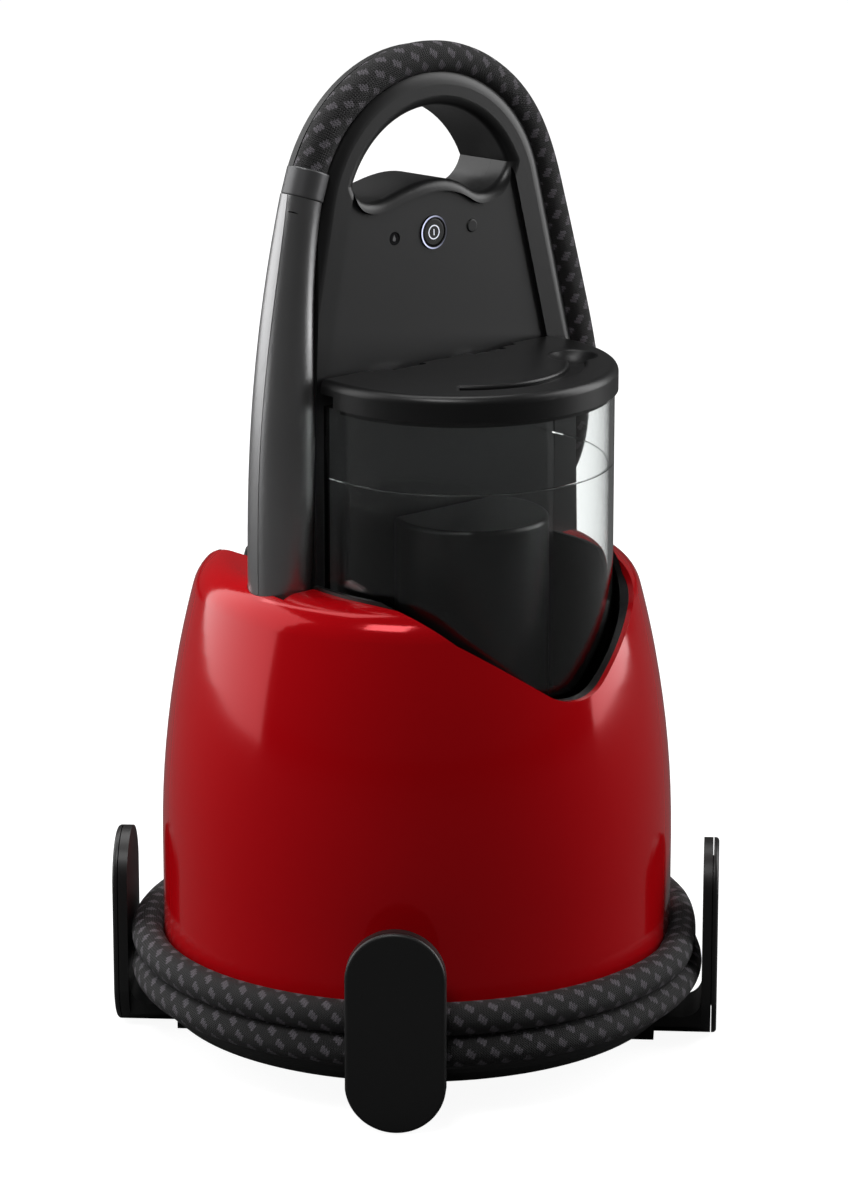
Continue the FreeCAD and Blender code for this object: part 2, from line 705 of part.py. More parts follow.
def make_valve():
    y = well_port_y
    stem = cylinder(2.5, (0, y, tank_floor_z - 1.5), (0, y, tank_floor_z + 12))
    head = cylinder(5.5, (0, y, tank_floor_z + 9.5), (0, y, tank_floor_z + 12))
    keep("outlet_plunger", stem.fuse(head))
    keep("plunger_spring", tube(4.6, 3.4, (0, y, tank_floor_z + 12.1), (0, y, tank_floor_z + 21.9)))
    seal = tube(5.9, 4.4, (0, y, deck_top_z + 0.2), (0, y, tank_floor_z - 0.4))
    pin = tube(4.4, 3.0, (0, y, deck_top_z - 12), (0, y, tank_floor_z - 1.9))
    keep("well_port", pin)
    keep("port_seal", seal)


def make_lid():
    top_z = lid_bottom_z + lid_height
    back = tank_back_y + 0.2
    lid = d_prism(lid_radius, back, lid_bottom_z, top_z)
    rim = [e for e in lid.Edges if e.BoundBox.ZMin > top_z - 0.01
           and (e.BoundBox.YMin < back - 1)]
    lid = lid.makeFillet(lid_edge_round, rim)
    inner = d_prism(lid_radius - 3, back - 8, lid_bottom_z - 1, top_z - 6.5)
    lid = lid.cut(inner)
    groove_r = lid_radius - 14
    groove = tube(groove_r, groove_r - 7, (0, tank_centre_y, top_z - 2.5), (0, tank_centre_y, top_z + 1))
    wedge = Part.makeCylinder(80, 20, V(0, tank_centre_y, top_z - 5), V(0, 0, 1), 105)
    wedge.rotate(V(0, tank_centre_y, 0), V(0, 0, 1), -132)
    lid = lid.cut(groove.common(wedge))
    dimple_angle = math.radians(-27)
    dimple_x = (groove_r - 3.5) * math.cos(dimple_angle)
    dimple_y = tank_centre_y + (groove_r - 3.5) * math.sin(dimple_angle)
    lid = lid.cut(Part.makeSphere(15, V(dimple_x, dimple_y, top_z + 10.7)))
    lip = [e for e in lid.Edges if e.BoundBox.ZMin > top_z - 0.01
           and math.hypot(e.CenterOfMass.x, e.CenterOfMass.y - tank_centre_y) < lid_radius - 6
           and e.BoundBox.YMax < back - 2]
    lid = lid.makeFillet(1.4, lip)
    notch = cylinder(6.0, (0, back + 2, top_z - 4), (0, back + 2, top_z + 1))
    lid = lid.cut(notch)
    for side in (-1, 1):
        x0, x1 = sorted((side * 13.4, side * 31.6))
        lid = lid.cut(box(x0, x1, lid_axis_y - 3.2, 0, 200, 400))
    relief = box(-80, 80, lid_axis_y - 5, 0, 200, lid_axis_z - 2.6)
    lid = lid.cut(relief)
    corner = box(-80, 80, lid_axis_y, 0, lid_axis_z, 400).cut(
        cylinder(2.9, (-90, lid_axis_y, lid_axis_z), (90, lid_axis_y, lid_axis_z)))
    lid = lid.cut(corner.common(box(-40, 40, -30, 0, 290, 310)))
    pins = []
    for side in (-1, 1):
        pins.append(cylinder(lid_pin_diameter / 2, (side * 10.0, lid_axis_y, lid_axis_z),
                             (side * 35.0, lid_axis_y, lid_axis_z)))
    pin_set = Part.makeCompound(pins)
    keep("lid_pins", pin_set)
    keep("tank_lid", largest(lid.cut(pin_set)))
    ring_out = tank_radius - tank_wall - running_gap
    seal = d_prism(ring_out, lid_axis_y - 6, lid_bottom_z - 2.5, top_z - 6.6)
    seal = seal.cut(d_prism(ring_out - 2, lid_axis_y - 8, lid_bottom_z - 5, top_z))
    keep("lid_seal", seal)


# ---------------------------------------------------------------- boiler and inner parts

def make_boiler():
    half = boiler_length / 2
    inside = boiler_radius - boiler_wall
    keep("boiler_shell", tube(boiler_radius, inside, (-half + 12, boiler_y, boiler_z),
                              (half - 12, boiler_y, boiler_z)))
    ends = []
    for side in (-1, 1):
        start = side * (half - 12)
        cap = cylinder(boiler_radius, (start, boiler_y, boiler_z), (side * half, boiler_y, boiler_z))
        rim = [e for e in cap.Edges if abs(e.BoundBox.XMin - side * half) < 0.01
               and abs(e.BoundBox.XMax - side * half) < 0.01]
        cap = cap.makeFillet(8, rim)
        inner = cylinder(inside, (start, boiler_y, boiler_z), (side * (half - boiler_wall - 7),
                                                               boiler_y, boiler_z))
        ends.append(cap.cut(inner))
    keep("boiler_ends", Part.makeCompound(ends))
    saddles = []
    for x in (-40, 40):
        saddle = box(x - 5, x + 5, boiler_y - 30, boiler_y + 30, base_clear + base_wall, boiler_z - 15)
        saddles.append(saddle.cut(cylinder(boiler_radius, (-80, boiler_y, boiler_z),
                                           (80, boiler_y, boiler_z))))
    keep("boiler_saddles", Part.makeCompound(saddles))
    low = boiler_z - 24
    legs = [cylinder(4, (-36, boiler_y + y, low), (50, boiler_y + y, low)) for y in (-12, 12)]
    turn = Part.makeTorus(12, 4, V(-36, boiler_y, low), V(0, 0, 1)).common(
        box(-80, -36, -200, 200, 0, 200))
    keep("boiler_heater", join(legs + [turn]))
    top = boiler_z + boiler_radius
    valve = cylinder(7, (30, boiler_y, top - 3), (30, boiler_y, top + 9)).cut(
        cylinder(boiler_radius, (-80, boiler_y, boiler_z), (80, boiler_y, boiler_z)))
    keep("safety_valve", valve)
    stat = cylinder(8, (0, boiler_y - boiler_radius + 3, boiler_z),
                    (0, boiler_y - boiler_radius - 8, boiler_z)).cut(
        cylinder(boiler_radius, (-80, boiler_y, boiler_z), (80, boiler_y, boiler_z)))
    keep("thermostat", stat)
    solenoid = box(-88, -72, -9, 9, 104, 128).fuse(cylinder(6, (-80, 0, 104), (-80, 0, 92)))
    keep("solenoid_valve", solenoid)
    pump = cylinder(14, (74, 0, 46), (74, 26, 46)).fuse(cylinder(6, (74, 26, 46), (74, 38, 46)))
    pump = pump.fuse(box(64, 84, 3, 23, base_clear + base_wall, 40))
    keep("water_pump", pump)
    board = box(-50, 50, 14.5, 16.1, 62, 128)
    parts_on = [box(-38, -20, 9.5, 14.5, 75, 95), box(10, 34, 8.5, 14.5, 85, 118),
                box(-5, 5, 11.5, 14.5, 70, 80)]
    keep("control_board", join([board] + parts_on))
    feed = [(4.5, well_port_y, 135.0), (30.0, well_port_y - 2, 134.5),
            (60.0, -50.0, 132.0), (84.0, -30.0, 120.0), (88.0, -8.0, 92.0), (82.0, 10.0, 61.0)]
    feed_tube = hose_tube(feed, 2.5).cut(pump).cut(valve)
    keep("feed_tube", largest(feed_tube))


# ---------------------------------------------------------------- iron, parked upright

def sole_outline(inset, y):
    half = sole_half_width - inset
    heel = sole_heel_z + inset
    tip = sole_tip_z - inset * 1.6
    shoulder = 118.0
    right = [V(half - 8, y, heel), V(half - 2.3, y, heel + 2.3), V(half, y, heel + 8)]
    side_mid = V(half * 0.76, y, 205.0)
    top = V(0, y, tip)
    mirror = [V(-p.x, p.y, p.z) for p in right]
    edges = [
        Part.Arc(*right).toShape(),
        Part.makeLine(right[2], V(half, y, shoulder)),
        Part.Arc(V(half, y, shoulder), side_mid, top).toShape(),
        Part.Arc(top, V(-side_mid.x, y, side_mid.z), V(-half, y, shoulder)).toShape(),
        Part.makeLine(V(-half, y, shoulder), mirror[2]),
        Part.Arc(mirror[2], mirror[1], mirror[0]).toShape(),
        Part.makeLine(mirror[0], right[0]),
    ]
    return Part.Face(Part.Wire(edges))


def sole_prism(inset, y0, y1):
    return sole_outline(inset, y0).extrude(V(0, y1 - y0, 0))


def side_prism(points, half):
    face = Part.Face(polygon([(-half, y, z) for y, z in points]))
    return face.extrude(V(2 * half, 0, 0))


def make_iron():
    sole_back = sole_y + sole_plate
    cover_y = sole_back + 0.1
    cover_top = cover_y + cover_depth
    sole = sole_prism(0, sole_y, sole_back)
    keep("iron_soleplate", sole.makeFillet(1.2, face_edges(sole, sole_y)))
    cover = sole_prism(2.5, cover_y, cover_top)
    cover = cover.makeFillet(10.0, face_edges(cover, cover_top))
    keep("iron_thermoblock", sole_prism(9.0, sole_back, sole_back + 9))
    handle = side_prism([(cover_top - 8, 82), (72, 82), (87, 150), (107, 150), (107, 182), (100, 200),
                         (86, 212), (cover_top - 8, 216)], handle_half_width)
    gap = side_prism([(cover_top + 5, 114), (70, 114), (78, 158), (91, 164), (91, 186), (84, 198),
                      (cover_top + 5, 200)], handle_half_width + 5)
    sides = [e for e in handle.Edges if abs(abs(e.BoundBox.Center.x) - handle_half_width) < 0.01]
    handle = handle.makeFillet(handle_round, sides).cut(gap)
    handle = largest(handle.cut(cover))
    pocket = box(-trigger_half - running_gap, trigger_half + running_gap, 86, 98, 165.5, 188.5)
    pin = cylinder(1.5, (-11, trigger_axis_y, trigger_axis_z), (11, trigger_axis_y, trigger_axis_z))
    handle = handle.cut(pocket).cut(pin)
    keep("trigger_pin", pin)
    trigger = box(-trigger_half, trigger_half, 86.5, 93.5, 167, trigger_axis_z + 1)
    trigger = trigger.fuse(cylinder(3.0, (-trigger_half, trigger_axis_y, trigger_axis_z),
                                    (trigger_half, trigger_axis_y, trigger_axis_z)))
    trigger = trigger.cut(cylinder(1.5 + slip_gap, (-20, trigger_axis_y, trigger_axis_z),
                                   (20, trigger_axis_y, trigger_axis_z)))
    keep("steam_trigger", trigger)
    keep("iron_handle", handle)
    keep("iron_cover", cover.cut(sole_prism(5.5, cover_y - 1, cover_top - 12)))
    mouth = V(*tail_route[-1])
    way = (mouth - V(*tail_route[-2])).normalize()
    relief = Part.makeCone(hose_diameter / 2 + 1.4, hose_diameter / 2 + 4, relief_length, mouth, way)
    relief = relief.cut(shapes["iron_handle"])
    keep("hose_strain_relief", relief)


def make_hose():
    hose_in = shell_radius + hose_gap
    hose_out = hose_in + hose_diameter
    coil_top = ledge_top + 2 * hose_diameter
    coil = revolve_polygon([(hose_in, ledge_top), (hose_out, ledge_top), (hose_out, coil_top),
                            (hose_in, coil_top)])
    keep("hose_coil", coil)
    space = revolve_polygon([(0, 0), (hose_out, 0), (hose_out, coil_top), (0, coil_top)])
    upper = hose_tube(upper_route, hose_diameter / 2, "hose over the arch")
    keep("steam_hose", largest(upper.cut(space)))
    tail = hose_tube(tail_route, hose_diameter / 2, "hose to the iron")
    keep("hose_tail", largest(tail.cut(space)))


make_base()
make_inlet()
make_hooks()
make_well()
make_deck()
make_dock()
make_conduit()
make_tower()
make_buttons()
make_tank()
make_filter()
make_valve()
make_lid()
make_boiler()
make_iron()
make_hose()

for name, shape in shapes.items():
    shape.exportStep("parts/" + name + ".step")
    bounds = shape.BoundBox
    print("%-24s solids %d volume %9.0f valid %s  x %.1f..%.1f y %.1f..%.1f z %.1f..%.1f" % (
        name, len(shape.Solids), shape.Volume, shape.isValid(), bounds.XMin, bounds.XMax,
        bounds.YMin, bounds.YMax, bounds.ZMin, bounds.ZMax))
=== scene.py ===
from math import sin, cos, pi, radians
import bpy
import bmesh
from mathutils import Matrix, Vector


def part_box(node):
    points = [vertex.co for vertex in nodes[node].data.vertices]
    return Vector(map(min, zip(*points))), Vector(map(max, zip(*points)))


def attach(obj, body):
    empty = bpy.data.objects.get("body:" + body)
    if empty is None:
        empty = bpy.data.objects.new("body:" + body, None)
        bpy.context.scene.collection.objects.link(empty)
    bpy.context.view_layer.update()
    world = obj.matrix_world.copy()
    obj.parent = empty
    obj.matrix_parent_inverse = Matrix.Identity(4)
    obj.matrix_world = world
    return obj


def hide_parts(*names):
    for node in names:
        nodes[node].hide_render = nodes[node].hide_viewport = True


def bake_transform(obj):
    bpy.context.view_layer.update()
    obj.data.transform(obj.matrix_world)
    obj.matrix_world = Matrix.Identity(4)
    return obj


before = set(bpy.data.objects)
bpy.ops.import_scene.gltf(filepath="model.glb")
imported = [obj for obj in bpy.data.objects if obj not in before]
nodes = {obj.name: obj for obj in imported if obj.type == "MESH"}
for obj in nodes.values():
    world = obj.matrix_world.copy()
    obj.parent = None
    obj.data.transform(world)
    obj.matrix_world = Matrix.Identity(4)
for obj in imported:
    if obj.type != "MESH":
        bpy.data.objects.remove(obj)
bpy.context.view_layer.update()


# Studio: the camera looks from the front left and a little above. Two tall soft panels stand at
# the sides, one hangs behind and one in front, over a plain white floor.
scene = bpy.context.scene
scene.view_settings.view_transform = "Standard"


def new_object(name, data):
    """An object with its mesh, curve, light or camera, put in the scene."""
    thing = bpy.data.objects.new(name, data)
    scene.collection.objects.link(thing)
    return thing


looking_at = Vector((0.00405, 0.0, 0.19322))
view_azimuth, view_elevation, view_distance = radians(-41.1), radians(15.66), 2.070
eye = new_object("studio_camera", bpy.data.cameras.new("studio_camera"))
eye.data.lens = 144.0
eye.data.sensor_width = 36.0
eye.data.clip_end = 50.0
eye.location = looking_at + view_distance * Vector((
    sin(view_azimuth) * cos(view_elevation), -cos(view_azimuth) * cos(view_elevation),
    sin(view_elevation)))
eye.rotation_euler = (looking_at - eye.location).to_track_quat("-Z", "Y").to_euler()
scene.camera = eye


def place(tree, kind, inputs=(), **settings):
    """A node with its settings, and its inputs given as values or as the sockets that feed them."""
    node = tree.nodes.new(kind)
    for name, value in settings.items():
        setattr(node, name, value)
    for name, value in dict(inputs).items():
        if isinstance(value, bpy.types.NodeSocket):
            tree.links.new(value, node.inputs[name])
        else:
            node.inputs[name].default_value = value
    return node


def soft_panel(name, turn, height, reach, width, tall, power):
    """A soft light, turn degrees round from the camera as seen from the object."""
    light = bpy.data.lights.new(name, "AREA")
    light.shape, light.size, light.size_y = "RECTANGLE", width, tall
    light.energy = power
    panel = new_object(name, light)
    angle = view_azimuth + radians(turn)
    middle = Vector((0.0, 0.0, 0.24))
    panel.location = middle + Vector((reach * sin(angle), -reach * cos(angle), height))
    panel.rotation_euler = (middle - panel.location).to_track_quat("-Z", "Y").to_euler()


soft_panel("left_panel", -103, 0.5, 1.9, 2.3, 2.8, 46.0)
soft_panel("right_panel", 105, 0.5, 1.9, 1.3, 2.8, 42.0)
soft_panel("top_panel", -150, 2.1, 1.0, 1.6, 1.6, 26.0)
soft_panel("front_panel", -20, 2.4, 1.7, 0.9, 0.9, 26.0)


def seen_plainly(tree):
    """1 for what the camera sees, straight or through the tank; 0 for what lights the object."""
    path = place(tree, "ShaderNodeLightPath")
    bounced = place(tree, "ShaderNodeMath", {0: path.outputs["Diffuse Depth"],
                                             1: path.outputs["Glossy Depth"]}, operation="ADD")
    straight = place(tree, "ShaderNodeMath", {0: bounced.outputs[0], 1: 0.5}, operation="LESS_THAN")
    through = place(tree, "ShaderNodeMath", {0: path.outputs["Is Transmission Ray"],
                                             1: straight.outputs[0]}, operation="MULTIPLY")
    return place(tree, "ShaderNodeMath", {0: path.outputs["Is Camera Ray"], 1: through.outputs[0]},
                 operation="MAXIMUM").outputs[0]


sky = bpy.data.worlds.new("studio_air")
scene.world = sky
sky.use_nodes = True
sky.node_tree.nodes.clear()
air = place(sky.node_tree, "ShaderNodeBackground", {"Color": (1, 1, 1, 1), "Strength": 0.07})
wall = place(sky.node_tree, "ShaderNodeBackground", {"Color": (1, 1, 1, 1), "Strength": 1.0})
both = place(sky.node_tree, "ShaderNodeMixShader", {0: seen_plainly(sky.node_tree),
                                                    1: air.outputs[0], 2: wall.outputs[0]})
place(sky.node_tree, "ShaderNodeOutputWorld", {"Surface": both.outputs[0]})

paper = bpy.data.materials.new("white_paper")
paper.use_nodes = True
paper.node_tree.nodes.clear()
dim = place(paper.node_tree, "ShaderNodeBsdfDiffuse", {"Color": (0.10, 0.10, 0.10, 1)})
pale = place(paper.node_tree, "ShaderNodeBsdfDiffuse", {"Color": (0.32, 0.32, 0.32, 1)})
glow = place(paper.node_tree, "ShaderNodeEmission", {"Color": (1, 1, 1, 1), "Strength": 0.93})
lit = place(paper.node_tree, "ShaderNodeAddShader", {0: pale.outputs[0], 1: glow.outputs[0]})
both = place(paper.node_tree, "ShaderNodeMixShader", {0: seen_plainly(paper.node_tree),
                                                      1: dim.outputs[0], 2: lit.outputs[0]})
place(paper.node_tree, "ShaderNodeOutputMaterial", {"Surface": both.outputs[0]})
floor_mesh = bpy.data.meshes.new("studio_floor")
edge = 9.0
floor_mesh.from_pydata([(-edge, -edge, 0), (edge, -edge, 0), (edge, edge, 0), (-edge, edge, 0)],
                       [], [(0, 1, 2, 3)])
floor_mesh.materials.append(paper)
studio_floor = new_object("studio_floor", floor_mesh)


# Steam hose: a flexible hose in a braided textile sleeve, black with grey flecks of three dashes.
# It leaves the collar, goes over the arch and down its right channel, winds nearly twice round
# the base inside the four hooks, and rises behind to the iron.
hose_diameter = 0.014
over_the_arch = [
    (-0.0690, -0.0052, 0.3730), (-0.0600, -0.0045, 0.3985), (-0.0383, -0.0039, 0.4202),
    (-0.0106, -0.0035, 0.4303), (0.0186, -0.0036, 0.4284), (0.0443, -0.0041, 0.4146),
    (0.0620, -0.0049, 0.3916), (0.0732, -0.0068, 0.3490), (0.0880, -0.0105, 0.2850),
    (0.0930, -0.0050, 0.2540), (0.0960, 0.0130, 0.2300), (0.0925, 0.0425, 0.2150),
    (0.0845, 0.0695, 0.1910), (0.0760, 0.0895, 0.1570), (0.0670, 0.1015, 0.1210),
    (0.0550, 0.1135, 0.0880), (0.0360, 0.1250, 0.0620), (0.0100, 0.1315, 0.0460),
    (-0.0180, 0.1280, 0.0380), (-0.0440, 0.1150, 0.0340), (-0.0620, 0.1010, 0.0325)]
up_to_the_iron = [
    (0.1030, -0.0595, 0.0460), (0.1148, -0.0308, 0.0475), (0.1189, 0.0000, 0.0515),
    (0.1148, 0.0308, 0.0570), (0.1030, 0.0595, 0.0605), (0.0841, 0.0841, 0.0620),
    (0.0630, 0.1009, 0.0625), (0.0440, 0.1077, 0.0650), (0.0250, 0.1085, 0.0740),
    (0.0090, 0.1050, 0.0900), (0.0000, 0.0995, 0.1120), (0.0000, 0.0970, 0.1340)]
coil_radius = 0.1190
lower_turn_z, upper_turn_z = 0.0320, 0.0460
climb_from, climb_to = 320.0, 400.0
coil_from, coil_to, coil_step = 136.0, 676.0, 15.0

route = list(over_the_arch)
turned = coil_from
while turned < coil_to:
    climb = min(1.0, max(0.0, (turned - climb_from) / (climb_to - climb_from)))
    climb = climb * climb * (3 - 2 * climb)
    route.append((coil_radius * cos(radians(turned)), coil_radius * sin(radians(turned)),
                  lower_turn_z + (upper_turn_z - lower_turn_z) * climb))
    turned += coil_step
route += up_to_the_iron

line = bpy.data.curves.new("hose_line", "CURVE")
line.dimensions = "3D"
strand = line.splines.new("NURBS")
strand.points.add(len(route) - 1)
for point, at in zip(strand.points, route):
    point.co = (*at, 1.0)
strand.order_u = 3
strand.use_endpoint_u = True
strand.resolution_u = 12
line_object = new_object("hose_line", line)
bpy.context.view_layer.update()
line_mesh = bpy.data.meshes.new_from_object(line_object.evaluated_get(
    bpy.context.evaluated_depsgraph_get()))
line_points = [v.co.copy() for v in line_mesh.vertices]
bpy.data.objects.remove(line_object)


def even_steps(points, step):
    """The same line in equal steps."""
    out = [points[0]]
    left = step
    for a, b in zip(points, points[1:]):
        run = (b - a).length
        while run > 0 and left <= run:
            out.append(a.lerp(b, left / run))
            left += step
        left -= run
    if (out[-1] - points[-1]).length < step / 2:
        out.pop()
    return out + [points[-1]]


def braided_tube(name, points, along, up, radius=hose_diameter / 2, sides=28):
    """A tube round the points with its own UV: once round it is 1, and so is one girth along it."""
    mesh = bpy.data.meshes.new(name)
    bm = bmesh.new()
    uv = bm.loops.layers.uv.new("braid")
    rings = []
    for i, here in enumerate(points):
        way = (points[min(i + 1, len(points) - 1)] - points[max(i - 1, 0)]).normalized()
        up = (up - way * up.dot(way)).normalized()
        side = way.cross(up)
        rings.append([bm.verts.new(here + radius * (cos(2 * pi * k / sides) * up +
                                                    sin(2 * pi * k / sides) * side))
                      for k in range(sides)])
    girth = 2 * pi * radius
    for i, (a, b) in enumerate(zip(rings, rings[1:])):
        run = (points[i + 1] - points[i]).length
        for k in range(sides):
            n = (k + 1) % sides
            face = bm.faces.new((a[k], a[n], b[n], b[k]))
            face.smooth = True
            for loop, (u, v) in zip(face.loops, ((k, 0), (k + 1, 0), (k + 1, run), (k, run))):
                loop[uv].uv = (u / sides, (along + v) / girth)
        along += run
    bm.faces.new(rings[0])
    bm.faces.new(list(reversed(rings[-1])))
    bmesh.ops.recalc_face_normals(bm, faces=bm.faces)
    bm.to_mesh(mesh)
    bm.free()
    return new_object(name, mesh), along, up


def sums(tree, operation, *values):
    """One step of arithmetic in a material."""
    node = tree.nodes.new("ShaderNodeMath")
    node.operation = operation
    for i, value in enumerate(values):
        if isinstance(value, bpy.types.NodeSocket):
            tree.links.new(value, node.inputs[i])
        else:
            node.inputs[i].default_value = value
    return node.outputs[0]


def new_material(name):
    """A material, its tree and its shader."""
    material = bpy.data.materials.new(name)
    material.use_nodes = True
    return material, material.node_tree, material.node_tree.nodes["Principled BSDF"]


def new_group(name, takes, gives):
    """A shared effect: its sockets are given as name: default."""
    group = bpy.data.node_groups.new(name, "ShaderNodeTree")
    for sockets, way in ((takes, "INPUT"), (gives, "OUTPUT")):
        for label, value in sockets.items():
            kind = ("NodeSocketColor" if isinstance(value, tuple) and len(value) == 4 else
                    "NodeSocketVector" if isinstance(value, tuple) else "NodeSocketFloat")
            socket = group.interface.new_socket(label, in_out=way, socket_type=kind)
            if way == "INPUT":
                socket.default_value = value
    return group, group.nodes.new("NodeGroupInput"), group.nodes.new("NodeGroupOutput")


# the sleeve: 1.1 mm threads slanting each way, with a fleck every 9.7 mm in 8 rows; a fleck's
# dashes lie side by side, each a little further round the hose than the last
fleck_rows = 8.0
dash_pitch, dash_share, dash_lean = 0.00140, 0.46, 0.35
dash_shift, dash_half = -0.00095, 0.00140
weave, taken, given = new_group(
    "braided_sleeve",
    {"UV": (0.0, 0.0, 0.0), "Girth": 0.044, "Thread": 0.0011, "Fleck pitch": 0.0097},
    {"Fleck": 0.0, "Thread height": 0.0, "Thread painted shade": 0.0})
split = place(weave, "ShaderNodeSeparateXYZ", {0: taken.outputs["UV"]})
around = sums(weave, "MULTIPLY", split.outputs[0], taken.outputs["Girth"])
length = sums(weave, "MULTIPLY", split.outputs[1], taken.outputs["Girth"])
row_size = sums(weave, "DIVIDE", taken.outputs["Girth"], fleck_rows)
row = sums(weave, "DIVIDE", around, row_size)
row_number = sums(weave, "FLOOR", row)
across = sums(weave, "MULTIPLY", sums(weave, "SUBTRACT", sums(weave, "FRACT", row), 0.5), row_size)
stagger = sums(weave, "MULTIPLY", sums(weave, "MODULO", row_number, 2.0), 0.5)
pitch = taken.outputs["Fleck pitch"]
place_on_row = sums(weave, "ADD", sums(weave, "DIVIDE", length, pitch), stagger)
from_fleck = sums(weave, "SUBTRACT", sums(weave, "FRACT", place_on_row), 0.5)
on = sums(weave, "MULTIPLY", from_fleck, pitch)
leaning = sums(weave, "MULTIPLY", across, dash_lean)
slant = sums(weave, "DIVIDE", sums(weave, "ADD", on, leaning), dash_pitch)
dash = sums(weave, "ROUND", slant)
off_dash = sums(weave, "ABSOLUTE", sums(weave, "SUBTRACT", slant, dash))
in_dash = sums(weave, "LESS_THAN", off_dash, dash_share)
few = sums(weave, "LESS_THAN", sums(weave, "ABSOLUTE", dash), 1.5)
drop = sums(weave, "ADD", across, sums(weave, "MULTIPLY", dash, dash_shift))
short = sums(weave, "LESS_THAN", sums(weave, "ABSOLUTE", drop), dash_half)
fleck = sums(weave, "MULTIPLY", sums(weave, "MULTIPLY", in_dash, few), short)
weave.links.new(fleck, given.inputs["Fleck"])
turns_a = sums(weave, "DIVIDE", sums(weave, "ADD", around, length), taken.outputs["Thread"])
turns_b = sums(weave, "DIVIDE", sums(weave, "SUBTRACT", around, length), taken.outputs["Thread"])
wave_a = sums(weave, "SINE", sums(weave, "MULTIPLY", turns_a, 2 * pi))
wave_b = sums(weave, "SINE", sums(weave, "MULTIPLY", turns_b, 2 * pi))
turns = sums(weave, "ADD", sums(weave, "FLOOR", turns_a), sums(weave, "FLOOR", turns_b))
odd = sums(weave, "ABSOLUTE", sums(weave, "MODULO", turns, 2.0))
over = sums(weave, "LESS_THAN", odd, 0.5)
height = place(weave, "ShaderNodeMix", {0: over, 2: wave_a, 3: wave_b},
               data_type="FLOAT").outputs[0]
weave.links.new(height, given.inputs["Thread height"])
# painted shade in the weave: a thread's colour follows its height, darker where it dips under its
# neighbour, lighter on its top
weave.links.new(place(weave, "ShaderNodeMapRange", {
    "Value": height, "From Min": -1.0, "From Max": 1.0}).outputs[0], given.inputs["Thread painted shade"])

sleeve, tree, shader = new_material("braided_sleeve")
place(tree, "ShaderNodeUVMap", uv_map="braid")
braid = tree.nodes.new("ShaderNodeGroup")
braid.node_tree = weave
tree.links.new(tree.nodes["UV Map"].outputs[0], braid.inputs["UV"])
# both the black and the grey are mixed by the thread's height: painted shade, darker in the weave's
# hollows
black = place(tree, "ShaderNodeMix", {0: braid.outputs["Thread painted shade"],
                                      6: (0.0040, 0.0038, 0.0041, 1), 7: (0.026, 0.025, 0.026, 1)},
              data_type="RGBA")
grey = place(tree, "ShaderNodeMix", {0: braid.outputs["Thread painted shade"],
                                     6: (0.075, 0.068, 0.078, 1), 7: (0.150, 0.138, 0.156, 1)},
             data_type="RGBA")
colour = place(tree, "ShaderNodeMix", {0: braid.outputs["Fleck"], 6: black.outputs[2],
                                       7: grey.outputs[2]}, data_type="RGBA")
tree.links.new(colour.outputs[2], shader.inputs["Base Color"])
relief = place(tree, "ShaderNodeBump", {"Height": braid.outputs["Thread height"], "Strength": 0.55,
                                        "Distance": 0.0003})
tree.links.new(relief.outputs[0], shader.inputs["Normal"])
shader.inputs["Roughness"].default_value = 0.62
shader.inputs["Specular IOR Level"].default_value = 0.30
shader.inputs["Sheen Weight"].default_value = 0.06
shader.inputs["Sheen Roughness"].default_value = 0.4

hose_points = even_steps(line_points, 0.0025)
tail_from = Vector(up_to_the_iron[0])
cut = min(range(len(hose_points)), key=lambda i: (hose_points[i] - tail_from).length)
wound_hose, so_far, facing = braided_tube("wound_hose", hose_points[:cut + 1], 0.0,
                                          Vector((0, -1, 0)))
rising_hose = braided_tube("rising_hose", hose_points[cut:], so_far, facing)[0]
for piece, points, old in ((wound_hose, hose_points[:cut + 1], ("steam_hose", "hose_coil")),
                           (rising_hose, hose_points[cut:], ("hose_tail",))):
    piece.data.materials.append(sleeve)
    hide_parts(*old)
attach(wound_hose, "root")
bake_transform(rising_hose)


# Moulded black plastic, in every satin piece: fine spark-eroded grain, faint smears from handling.
# The grain is noise at 0.4 mm, and the smears change its shine and, faintly, its tone.
grain, taken, given = new_group(
    "moulded_surface",
    {"Colour": (0.02, 0.02, 0.02, 1.0), "Shift": 0.2, "Roughness": 0.4, "Smear": 0.06,
     "Grain size": 0.0004},
    {"Colour": (0.0, 0.0, 0.0, 1.0), "Roughness": 0.0, "Height": 0.0})
place(grain, "ShaderNodeTexCoord")
spot = grain.nodes["Texture Coordinate"].outputs["Object"]
fine = place(grain, "ShaderNodeTexNoise", {
    "Vector": spot, "Scale": sums(grain, "DIVIDE", 1.0, taken.outputs["Grain size"]),
    "Detail": 2.0, "Roughness": 0.6})
wide = place(grain, "ShaderNodeTexNoise", {
    "Vector": spot, "Scale": 14.0, "Detail": 4.0, "Roughness": 0.55})
swing = sums(grain, "SUBTRACT", wide.outputs[0], 0.5)
tone = sums(grain, "ADD", 1.0, sums(grain, "MULTIPLY", swing, taken.outputs["Shift"]))
shifted = place(grain, "ShaderNodeVectorMath", {0: taken.outputs["Colour"]}, operation="SCALE")
grain.links.new(tone, shifted.inputs["Scale"])
grain.links.new(shifted.outputs[0], given.inputs["Colour"])
smeared = sums(grain, "MULTIPLY", swing, taken.outputs["Smear"])
grain.links.new(sums(grain, "ADD", taken.outputs["Roughness"], smeared), given.inputs["Roughness"])
grain.links.new(fine.outputs[0], given.inputs["Height"])


